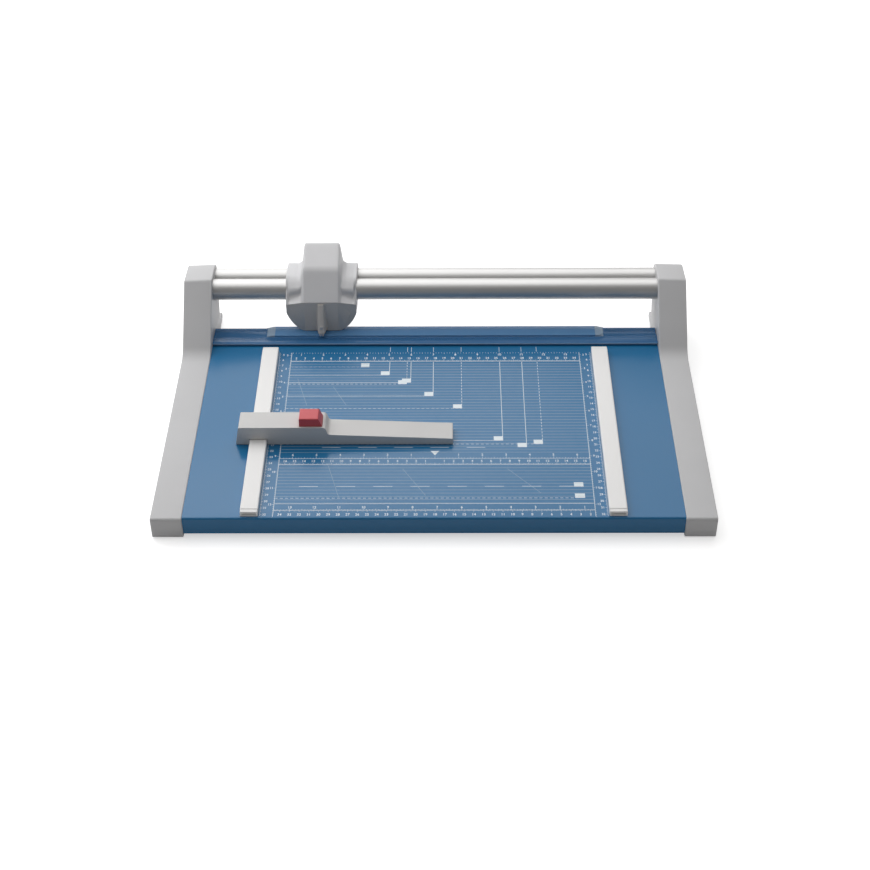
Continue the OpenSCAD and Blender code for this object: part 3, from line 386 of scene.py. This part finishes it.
camera = {"x": 14.02, "y": -1528.55, "z": 1129.67, "pitch": 40.24, "yaw": -0.566, "roll": -0.462,
          "lens": 66.53, "sensor": 36, "near": 0.05, "far": 40}
lens = bpy.data.cameras.new("camera")
lens.lens = camera["lens"]
lens.sensor_width = camera["sensor"]
lens.clip_start = camera["near"]
lens.clip_end = camera["far"]
eye = bpy.data.objects.new("camera", lens)
bpy.context.scene.collection.objects.link(eye)
pitch, yaw, roll = (math.radians(camera[key]) for key in ("pitch", "yaw", "roll"))
ahead = Vector((math.sin(yaw) * math.cos(pitch), math.cos(yaw) * math.cos(pitch), -math.sin(pitch)))
right = Vector((math.cos(yaw), -math.sin(yaw), 0))
up = right.cross(ahead)
tiltRight = right * math.cos(roll) + up * math.sin(roll)
tiltUp = up * math.cos(roll) - right * math.sin(roll)
turn = Matrix((tiltRight, tiltUp, -ahead)).transposed().to_4x4()
eye.matrix_world = Matrix.Translation(spot(camera["x"], camera["y"], camera["z"])) @ turn
bpy.context.scene.camera = eye

# Softboxes in metres and watts: a large one overhead and one behind the trimmer's left

lamps = {"overhead": {"place": (-0.3, 0.6, 1.8), "aim": (-0.05, 0, 0), "size": (3.2, 1.9), "power": 29.5},
         "key": {"place": (-1.2, 1.5, 1.08), "aim": (0, 0, 0.03), "size": (3.4, 1.9), "power": 28.5}}


def addSoftbox(name, box):
    lamp = bpy.data.lights.new(name, "AREA")
    lamp.shape = "RECTANGLE"
    lamp.size, lamp.size_y = box["size"]
    lamp.energy = box["power"]
    lampObject = bpy.data.objects.new(name, lamp)
    lampObject.location = box["place"]
    direction = Vector(box["aim"]) - Vector(box["place"])
    lampObject.rotation_euler = direction.to_track_quat("-Z", "Y").to_euler()
    bpy.context.scene.collection.objects.link(lampObject)


for name, box in lamps.items():
    addSoftbox(name, box)

# World and floor. A band is where the white backdrop comes in: from right to left, or from front to back
studio = {"ambient": 0.215, "roomColour": (1.0, 0.985, 0.96), "leftBand": (-0.3, 0.2), "leftShare": 0.5,
          "backBand": (-0.5, 0.1), "floorColour": (0.8, 0.8, 0.8), "floorRough": 0.7,
          "floorBand": (-0.35, 0.1), "lift": 0.56, "fade": (0.5, 1.8), "floorX": (-6, 6), "floorY": (-5, 8)}
white = (1.0, 1.0, 1.0)
black = (0.0, 0.0, 0.0)


# How much of the white backdrop a ray sees: all of it from the camera, and its share by depth in gloss
def seenShare(tree, depth):
    kinds = ("Is Camera Ray", "Is Glossy Ray", "Is Transmission Ray")
    direct, glossy, through = (addNode(tree, "LightPath", kind) for kind in kinds)
    return (direct + (glossy + through) * depth).capped(1.0)


def backdropDepth(sky):
    aim = addNode(sky, "TexCoord", "Generated")
    toLeft = 1 - addNode(sky, "SeparateXYZ", "X", None, Vector=aim).ramp(*studio["leftBand"])
    behind = addNode(sky, "SeparateXYZ", "Y", None, Vector=aim).ramp(*studio["backBand"])
    return behind * (toLeft * studio["leftShare"] + (1 - studio["leftShare"]))


def setWorld():
    world = bpy.data.worlds.new("studio")
    bpy.context.scene.world = world
    world.use_nodes = True
    sky = world.node_tree
    sky.nodes.clear()
    colour = rgba(studio["roomColour"])
    room = addNode(sky, "Background", "Background", None, Color=colour, Strength=studio["ambient"])
    backdrop = addNode(sky, "Background", "Background", None, Color=rgba(white), Strength=1.0)
    seen = seenShare(sky, backdropDepth(sky))
    mixed = addNode(sky, "MixShader", "Shader", None, no0=seen, no1=room, no2=backdrop)
    worldOut = sky.nodes.new("ShaderNodeOutputWorld")
    feed(sky, worldOut.inputs["Surface"], mixed)


def layFloor():
    sweep = Surface("floor_white")
    seen = seenShare(sweep.tree, sweep.axis("Y").ramp(*studio["floorBand"]))
    distance = sweep.node("VectorMath", "Value", {"operation": "LENGTH"}, no0=sweep.place)
    lift = distance.ramp(*studio["fade"]) * (1 - studio["lift"]) + studio["lift"]
    sweep.set(Base_Color=studio["floorColour"], Roughness=studio["floorRough"], Specular_IOR_Level=0.0,
              Emission_Strength=1.0, Emission_Color=sweep.tint(seen * lift, black, white))
    left, right = studio["floorX"]
    front, back = studio["floorY"]
    mesh = bpy.data.meshes.new("floor")
    ring = [(left, front, 0), (right, front, 0), (right, back, 0), (left, back, 0)]
    mesh.from_pydata(ring, [], [(0, 1, 2, 3)])
    addObject("floor", mesh, sweep.material)


setWorld()
layFloor()
bpy.context.scene.view_settings.view_transform = "Standard"
print("camera, softboxes and floor set")


# Print on the table: how far its lines lie above the paint, the edges of its field, and its dashes
printing = {"lift": 0.04, "left": -165.5, "right": 166.5, "back": -46, "front": -323, "on": 3.2, "gap": 2.2,
            "longOn": 20, "longGap": 19}
widths = {"tick": 0.36, "formatTick": 0.468, "firm": 0.504, "grid": 0.52, "line": 0.54, "side": 0.648}
lettering = {"size": 3.6, "small": 3.2, "pitch": 0.62, "wide": 1.15, "tall": 1.35, "bold": 0.02}


def digitShapes():
    shapes = []
    for digit in range(10):
        curve = bpy.data.curves.new("digit", "FONT")
        curve.body = str(digit)
        curve.offset = lettering["bold"]
        curve.align_x = "CENTER"
        curve.align_y = "CENTER"
        stamp = bpy.data.objects.new("digit", curve)
        bpy.context.scene.collection.objects.link(stamp)
        mesh = bpy.data.meshes.new_from_object(stamp)
        shapes.append(([tuple(v.co.xy) for v in mesh.vertices], [tuple(p.vertices) for p in mesh.polygons]))
        bpy.data.objects.remove(stamp)
        bpy.data.meshes.remove(mesh)
    return shapes


digits = digitShapes()


class Print:
    def __init__(self, name, finish):
        self.name = name
        self.finish = finish
        self.points = []
        self.faces = []

    def patch(self, corners, faces=None, lift=0.0):
        first = len(self.points)
        self.points += [spot(x, y, printing["lift"] + lift) for x, y in corners]
        for face in faces or [range(len(corners))]:
            self.faces.append([first + i for i in face])

    def box(self, left, front, right, back, lift=0.0):
        self.patch([(left, front), (right, front), (right, back), (left, back)], lift=lift)

    def line(self, start, end, width=widths["line"]):
        a = Vector(start)
        b = Vector(end)
        side = (b - a).normalized().orthogonal() * width / 2
        self.patch([a - side, b - side, b + side, a + side])

    def dashes(self, start, end, on=printing["on"], gap=printing["gap"]):
        a = Vector(start)
        way = Vector(end) - a
        step = way.normalized()
        for i in range(math.ceil(way.length / (on + gap))):
            begin = i * (on + gap)
            self.line(a + step * begin, a + step * min(begin + on, way.length))

    def number(self, value, x, y, size=lettering["size"]):
        text = str(value)
        for i, letter in enumerate(text):
            points, faces = digits[int(letter)]
            middle = x + (i - (len(text) - 1) / 2) * size * lettering["pitch"]
            wide = size * lettering["wide"]
            tall = size * lettering["tall"]
            self.patch([(middle + px * wide, y + py * tall) for px, py in points], faces)

    def lay(self):
        mesh = bpy.data.meshes.new(self.name)
        mesh.from_pydata([tuple(p) for p in self.points], [], self.faces)
        piece = addObject(self.name, mesh, self.finish)
        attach(piece, "base")


# A ruler counts from the left stop, the middle or the right stop. Its ticks and numbers lie off its line
rulers = {"backCentimetres": {"from": "left", "unit": "cm", "line": -62.6, "tick": 3.4, "text": 5.9},
          "backInches": {"from": "left", "unit": "inch", "line": -46, "tick": -3.2, "text": -4.2},
          "middleInches": {"from": "middle", "unit": "inch", "line": -232.5, "tick": 3.0, "text": 5.8},
          "middleCentimetres": {"from": "middle", "unit": "cm", "line": -242.4, "tick": 3.0, "text": 5.6},
          "frontInches": {"from": "right", "unit": "inch", "line": -313.3, "tick": 2.4, "text": 4.0},
          "frontCentimetres": {"from": "right", "unit": "cm", "line": -313.3, "tick": -2.6, "text": -6.8}}
starts = {"left": -179.6, "middle": 0.9, "right": 181.4}
ways = {"left": (1,), "middle": (1, -1), "right": (-1,)}
units = {"cm": 10, "inch": 25.4}
parts = {"cm": 10, "inch": 8}
ticks = {"half": 0.7, "part": 0.45, "margin": 2}
frontEdge = -303.7
arrow = {"y": -220.2, "half": 4.8, "deep": 7.3}


def printRuler(sheet, ruler):
    low, high = printing["left"], printing["right"]
    start = starts[ruler["from"]]
    directions = ways[ruler["from"]]
    unit = units[ruler["unit"]]
    split = parts[ruler["unit"]]
    y = ruler["line"]
    tick = ruler["tick"]
    count = math.ceil(max(high - start, start - low) / unit) + 1
    first = -count * split if len(directions) > 1 else 0
    for i in range(first, count * split):
        x = start + directions[0] * i * unit / split
        if low <= x <= high:
            share = 1 if i % split == 0 else ticks["half"] if i * 2 % split == 0 else ticks["part"]
            sheet.line((x, y), (x, y + tick * share), widths["tick"])
    for i in range(1, count):
        for way in directions:
            x = start + way * i * unit
            if low + ticks["margin"] < x < high - ticks["margin"]:
                sheet.number(i, x, y + ruler["text"])


def printRulers():
    sheet = Print("ruler_print", inks["bright"])
    for ruler in rulers.values():
        printRuler(sheet, ruler)
    for name in ("backCentimetres", "middleInches", "middleCentimetres"):
        y = rulers[name]["line"]
        sheet.line((printing["left"], y), (printing["right"], y))
    sheet.line((printing["left"], frontEdge), (printing["right"], frontEdge))
    foot = rulers["frontInches"]["line"]
    sheet.line((printing["left"], foot), (printing["right"], foot), widths["firm"])
    middle = starts["middle"]
    half = arrow["half"]
    back = arrow["y"]
    sheet.patch([(middle - half, back), (middle, back - arrow["deep"]), (middle + half, back)])
    for way, x in ((-1, printing["left"]), (1, printing["right"])):
        printSide(sheet, way, x)
    sheet.lay()


# Millimetres along each stop and inches inside them, with whole centimetres and inches numbered
sideRuler = {"rim": 179.9, "text": 174.6, "tens": 2.6, "fives": 1.9, "ones": 1.2, "inchTick": 2.4,
             "partTick": 1.2, "inchText": 4.6}


def printSide(sheet, way, x):
    sheet.line((x, printing["back"]), (x, printing["front"]))
    rim = way * sideRuler["rim"]
    for i in range(-printing["back"], -printing["front"]):
        kind = "tens" if i % 10 == 0 else "fives" if i % 5 == 0 else "ones"
        sheet.line((rim, -i), (rim - way * sideRuler[kind], -i), widths["tick"])
        if kind == "tens":
            sheet.number(i // 10, way * sideRuler["text"], -i, lettering["small"])
    split = parts["inch"]
    step = units["inch"] / split
    for i in range(math.ceil(-printing["back"] / step), math.ceil(-printing["front"] / step) + 1):
        whole = i % split == 0
        tick = sideRuler["inchTick" if whole else "partTick"]
        sheet.line((x, -i * step), (x + way * tick, -i * step), widths["tick"])
        if whole:
            sheet.number(i // split, x + way * sideRuler["inchText"], -i * step, lettering["small"])


# Paper and photo sizes, drawn from the left stop and the cut line
formats = {"b7": (128, 88), "fourBySix": (152.4, 101.6), "a6": (148, 104.5), "fiveBySeven": (178, 126),
           "a5": (210, 148), "eightByTen": (254, 203), "letter": (279.4, 214.2), "a4": (297, 209)}
dashedFormats = ("a6", "a5", "a4")
solidDepths = ("b7", "fourBySix", "fiveBySeven", "eightByTen")
formatMarks = {"boxWide": 9.8, "boxDeep": 7, "boxLift": 0.01, "liftStep": 0.005, "tickBack": -35.9,
               "tickFront": -44.6, "start": -64}


def printFormat(sheet, i, name):
    length, depth = formats[name]
    x = starts["left"] + length
    y = -depth
    left = printing["left"]
    start = formatMarks["start"]
    sheet.line((x, formatMarks["tickBack"]), (x, formatMarks["tickFront"]), widths["formatTick"])
    if name in dashedFormats:
        sheet.dashes((x, start), (x, y))
        sheet.dashes((left, y), (x, y))
    else:
        sheet.line((x, start), (x, y), widths["side"])
    if name in solidDepths:
        sheet.line((left, y), (x, y))
    lift = formatMarks["boxLift"] + i * formatMarks["liftStep"]
    sheet.box(x - formatMarks["boxWide"], y, x, y + formatMarks["boxDeep"], lift)


# Sizes without a side of their own: a depth in front of the cut, where its line ends, and its box
depths = {"smallest": {"y": -72.7, "to": -75, "box": (-84.5, -73.4, -74.9, -65.9)},
          "deepest": {"y": -295.2, "to": 147, "box": (147, -295.2, 157.4, -288.4)}}
longDashes = {"front": ((-141.5, -277), (147, -277)), "middle": ((-121, -214.5), (60, -214.5))}
frontBox = (147, -278, 156.8, -270.9)


def printFormats():
    sheet = Print("format_print", inks["bright"])
    for i, name in enumerate(formats):
        printFormat(sheet, i, name)
    for depth in depths.values():
        sheet.dashes((printing["left"], depth["y"]), (depth["to"], depth["y"]))
        sheet.box(*depth["box"])
    sheet.box(*frontBox)
    for start, end in longDashes.values():
        sheet.dashes(start, end, printing["longOn"], printing["longGap"])
    sheet.lay()


# Fine lines every five millimetres but for the middle rulers, and the angles that corners are cut to
grid = {"step": 5, "ahead": 1, "behind": 8}
angleMarks = {"corner": ((-155.3, -94.8), (-141.8, -143.3)), "flap": ((-114.1, -109.5), (-98.5, -141.7)),
              "steep": ((-112.4, -244.4), (-99.2, -293.3)), "middle": ((-33.1, -249.4), (-8.6, -291.3)),
              "flat": ((78.2, -249.6), (111.8, -287.5))}


def printGrid():
    sheet = Print("grid_print", inks["pale"])
    clearFront = rulers["middleCentimetres"]["line"] - grid["ahead"]
    clearBack = rulers["middleInches"]["line"] + grid["behind"]
    y = rulers["backCentimetres"]["line"] - grid["step"]
    while y > frontEdge:
        if not clearFront < y < clearBack:
            sheet.line((printing["left"], y), (printing["right"], y), widths["grid"])
        y -= grid["step"]
    for start, end in angleMarks.values():
        sheet.line(start, end, widths["firm"])
    sheet.lay()


printRulers()
printFormats()
printGrid()
print("table printed")

# The head's cover, drawn as a close row of sections across it

cover = {"x": -132.2, "half": 41.2, "grip": 19.25, "front": -9.5, "skew": 4, "foot": 26, "back": 59.35,
         "wall": 2, "top": 86.6, "roof": 61.65, "shoulder": 59.3, "sleeve": 13.35, "seam": 45.2,
         "seamDrop": 6, "end": 1.2, "pull": 0.9, "roofFront": 17, "gripFront": 27, "gripFall": 12.5,
         "smoothTo": 34, "weld": 0.001}
tubes = {"radius": 12.25, "front": (18, 44.8), "rear": (43.5, 42.1)}
# Where the grip's sides turn into the shoulders, as start and width beyond the grip or before the rim
flanks = {"wall": (0.9, 4.4), "wallShare": 0.86, "hem": (3, 7), "scoop": (1, 5), "rim": (4.2, 2.8)}
# The grip's top edges, rounded down from a little inside its sides
crown = {"start": 2.2, "width": 4, "most": 0.98, "drop": 2.2, "frontShare": 0.6}
# The dished front of the shoulders. Its shares place both corners where nothing is dished, and its heights
# go from the grip to the rim
dish = {"upperShare": 0.3, "lowerShare": 0.62, "upperOut": 0.2, "lowerIn": 0.5, "upper": (56, 52),
        "lower": (4.5, 2.2)}
# Each rounding's reach at both ends of its blend, its steps, and the largest share of a side that it takes
corners = {"back": {"reach": (14, 9), "steps": 14, "share": 0.62},
           "front": {"reach": (12.5, 5), "steps": 12, "share": 0.5},
           "wallTop": {"reach": (2.5, 8), "steps": 8, "share": 0.46},
           "wallFoot": {"reach": (2.5, 5), "steps": 8, "share": 0.5},
           "keel": {"reach": (0.7, 1.6), "steps": 6, "share": 0.62}}


# A corner rounded by a parabola that starts up to its reach away on each side
def softCorner(before, corner, after, kind, t):
    rounding = corners[kind]
    longest = min((before - corner).length, (after - corner).length) * rounding["share"]
    reach = min(blend(*rounding["reach"], t), longest)
    start = corner + (before - corner).normalized() * reach
    end = corner + (after - corner).normalized() * reach
    shares = [i / rounding["steps"] for i in range(rounding["steps"] + 1)]
    return [start * (1 - u) ** 2 + corner * 2 * u * (1 - u) + end * u * u for u in shares]


# From 0 to 1 over a band, given as its start and its width
def past(distance, band):
    start, width = band
    return ease((distance - start) / width)


# Outline of the cover at x, from its lower front edge under the sleeves, up the back and down the front
def coverSection(x):
    out = abs(x) - cover["grip"]
    side = max(0, out) / (cover["half"] - cover["grip"])
    toRim = abs(x) - cover["half"]
    wall = past(out, flanks["wall"]) * flanks["wallShare"]
    grip = 1 - wall - past(out, flanks["hem"]) * (1 - flanks["wallShare"])
    rimStart, rimWidth = flanks["rim"]
    scoop = past(out, flanks["scoop"]) * (1 - ease((toRim + rimStart) / rimWidth))
    last = max(0, toRim / cover["end"] + 1)
    pull = cover["pull"] * (1 - math.sqrt(max(0, 1 - last * last)))
    rounding = min(crown["most"], max(0, out + crown["start"]) / crown["width"])
    drop = crown["drop"] * (1 - math.sqrt(1 - rounding ** 2)) * grip

    seam = cover["seam"] - cover["seamDrop"] * side
    lip = cover["front"] + cover["skew"] * side
    sleeveFront = tubes["front"][0] - cover["sleeve"]
    skin = sleeveFront - cover["wall"]
    a = Vector((lip + pull, seam))
    d = Vector((cover["back"] - pull, cover["foot"]))
    e = Vector((cover["back"] - pull, blend(cover["shoulder"], cover["top"], grip) - pull - drop))
    frontY = blend(cover["roofFront"], cover["front"] + cover["gripFront"], grip) + pull
    frontZ = blend(cover["roof"], cover["top"] - cover["gripFall"], grip) - pull
    f = Vector((frontY, frontZ - drop * crown["frontShare"]))
    dishTop = Vector((skin + dish["upperOut"], blend(*dish["upper"], side)))
    dishFoot = Vector((skin - dish["lowerIn"] * side, seam + blend(*dish["lower"], side)))
    upper = f.lerp(a, dish["upperShare"]).lerp(dishTop, scoop)
    lower = f.lerp(a, dish["lowerShare"]).lerp(dishFoot, scoop)
    under = [Vector((sleeveFront, seam)), Vector((sleeveFront, cover["foot"]))]
    return [a, *under, d, *softCorner(d, e, f, "back", grip), *softCorner(e, f, upper, "front", grip),
            *softCorner(f, upper, lower, "wallTop", scoop), *softCorner(upper, lower, a, "wallFoot", scoop)]


# Where the sections stand, closest where the cover turns: the grip's side, the rim and the rounded end
stations = {"grip": 4, "turn": 2.4, "turnStep": 0.3, "turnCount": 40, "gap": 0.6, "shoulder": 8, "rim": 5,
            "rimStep": 0.35, "rimCount": 10, "end": 9}


def coverStations():
    half = cover["half"]
    rim = half - stations["rim"]
    start = cover["grip"] - stations["turn"]
    out = [cover["grip"] * i / stations["grip"] for i in range(stations["grip"])]
    out += [start + i * stations["turnStep"] for i in range(stations["turnCount"])]
    begin = out[-1] + stations["gap"]
    out += [blend(begin, rim, i / (stations["shoulder"] - 1)) for i in range(stations["shoulder"])]
    out += [rim + stations["rimStep"] * i for i in range(1, stations["rimCount"] + 1)]
    out += [half - cover["end"] * (1 - i / (stations["end"] - 1)) ** 2 for i in range(stations["end"])]
    return [-x for x in reversed(out[1:])] + out


# A solid between two ends of an outline, along X or along Y
def prism(outline, low, high, along):
    n = len(outline)
    points = [(end, u, v) if along == "X" else (u, end, v) for end in (low, high) for u, v in outline]
    sides = [(k, (k + 1) % n, n + (k + 1) % n, n + k) for k in range(n)]
    return points, [tuple(range(n)), tuple(range(2 * n - 1, n - 1, -1))] + sides


# Faces of a solid that runs through a number of outlines of n points
def loftFaces(outlines, n):
    total = outlines * n
    faces = [tuple(range(n)), tuple(range(total - 1, total - n - 1, -1))]
    for start in range(0, total - n, n):
        turns = [(start + k, start + (k + 1) % n) for k in range(n)]
        faces += [(here, here + n, there + n, there) for here, there in turns]
    return faces


def disc(centre, radius, steps=72):
    turns = [math.tau * i / steps for i in range(steps)]
    return [(centre[0] + math.cos(t) * radius, centre[1] + math.sin(t) * radius) for t in turns]


def headMesh(name, points, faces):
    mesh = bpy.data.meshes.new(name)
    mesh.from_pydata([tuple(spot(x + cover["x"], y, z)) for x, y, z in points], [], faces)
    sewn = bmesh.new()
    sewn.from_mesh(mesh)
    bmesh.ops.remove_doubles(sewn, verts=sewn.verts, dist=cover["weld"] * mm)
    bmesh.ops.recalc_face_normals(sewn, faces=sewn.faces)
    sewn.to_mesh(mesh)
    sewn.free()
    return mesh


def hollowed(piece, rooms):
    cutters = []
    for points, faces in rooms:
        cutter = bpy.data.objects.new("room", headMesh("room", points, faces))
        bpy.context.scene.collection.objects.link(cutter)
        cut = piece.modifiers.new("room", "BOOLEAN")
        cut.object = cutter
        cut.solver = "EXACT"
        cutters.append(cutter)
    bpy.context.view_layer.update()
    whole = piece.evaluated_get(bpy.context.evaluated_depsgraph_get())
    mesh = bpy.data.meshes.new_from_object(whole)
    piece.modifiers.clear()
    piece.data = mesh
    for cutter in cutters:
        bpy.data.objects.remove(cutter)
    return mesh


# The cover's hollow: bores for the sleeves, a slot below them, the grip's inside, the tubes and two screws
hollow = {"sleevePlay": 0.3, "slotPlay": 0.1, "gripWall": 3, "tubePlay": 0.6, "reach": 60,
          "gripOutline": [(20, 44.8), (43.5, 42.1), (52.3, 66.6), (48.3, 81.6), (22, 71.6)], "screwX": 24,
          "screwZ": 28.6, "screwFrom": 55, "screwRadius": 1.8, "sinkRadius": 3.6, "sink": 0.8, "steps": 24}


def coverRooms():
    inside = cover["half"] - cover["wall"]
    sleeve = cover["sleeve"] + hollow["sleevePlay"]
    reach = hollow["reach"]
    pairs = (tubes["front"], tubes["rear"])
    rooms = [prism(disc(centre, sleeve), -inside, inside, "X") for centre in pairs]
    low = cover["foot"] - hollow["slotPlay"]
    front = tubes["front"][0] - cover["sleeve"] - hollow["slotPlay"]
    back = tubes["rear"][0] + sleeve
    shelf = tubes["rear"][1]
    rooms.append(prism([(front, low), (back, low), (back, shelf), (front, shelf)], -inside, inside, "X"))
    grip = cover["grip"] - hollow["gripWall"]
    rooms.append(prism(hollow["gripOutline"], -grip, grip, "X"))
    tube = tubes["radius"] + hollow["tubePlay"]
    rooms += [prism(disc(centre, tube), -reach, reach, "X") for centre in pairs]
    for x in (-hollow["screwX"], hollow["screwX"]):
        centre = (x, hollow["screwZ"])
        shaft = disc(centre, hollow["screwRadius"], hollow["steps"])
        sink = disc(centre, hollow["sinkRadius"], hollow["steps"])
        rooms.append(prism(shaft, hollow["screwFrom"], reach, "Y"))
        rooms.append(prism(sink, cover["back"] - hollow["sink"], reach, "Y"))
    return rooms


def headCover():
    xs = coverStations()
    sections = [coverSection(x) for x in xs]
    points = [(x, p.x, p.y) for x, section in zip(xs, sections) for p in section]
    mesh = headMesh("head_cover_look", points, loftFaces(len(xs), len(sections[0])))
    piece = addObject("head_cover_look", mesh, finishes["cover_plastic"])
    soften(hollowed(piece, coverRooms()), cover["smoothTo"])
    breakEdges(piece, edges["headWidth"])
    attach(piece, homes["head_cover"])
    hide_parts("head_cover")


# The keel on the guard widens downwards to the nose that holds the presser foot
keel = {"top": 42.6, "low": 9.0, "nose": -21.9, "wide": (8.0, 13.0), "front": (4.4, 6.8), "depth": 1.7,
        "root": 0.8, "steps": 16, "smoothTo": 40}


def keelSection(share):
    wall = blend(*keel["wide"], share) / 2
    front = blend(*keel["front"], share) / 2
    face = cover["front"]
    y = blend(face - keel["depth"], keel["nose"], share)
    root = face + keel["root"]
    left = Vector((-wall, face))
    noseLeft = Vector((-front, y))
    noseRight = Vector((front, y))
    right = Vector((wall, face))
    return [Vector((-wall, root)), left, *softCorner(left, noseLeft, noseRight, "keel", share),
            *softCorner(noseLeft, noseRight, right, "keel", share), right, Vector((wall, root))]


def guardKeel():
    levels = [i / keel["steps"] for i in range(keel["steps"] + 1)]
    rows = [keelSection(u) for u in levels]
    points = [(p.x, p.y, blend(keel["top"], keel["low"], u)) for u, row in zip(levels, rows) for p in row]
    mesh = headMesh("guard_keel", points, loftFaces(len(levels), len(rows[0])))
    piece = addObject("guard_keel", mesh, finishes["guard_plastic"])
    soften(mesh, keel["smoothTo"])
    breakEdges(piece, edges["headWidth"])
    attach(piece, homes["blade_guard"])


headCover()
guardKeel()
print("head cover drawn")

# Springs under the clamp strip and the button, with their joint, foot height and kept share
springs = {"clamp_springs": {"joint": "clamp_press", "foot": 0.05, "keep": 0.11},
           "button_spring": {"joint": "button_press", "foot": 2.1, "keep": 0.84}}

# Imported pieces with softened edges

for node in frame["nodes"]:
    if node != "head_cover":
        piece = refine(node)
        if node in springs:
            spring = springs[node]
            foot = spot(0, 0, spring["foot"])
            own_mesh(piece)
print("packed pieces refined")
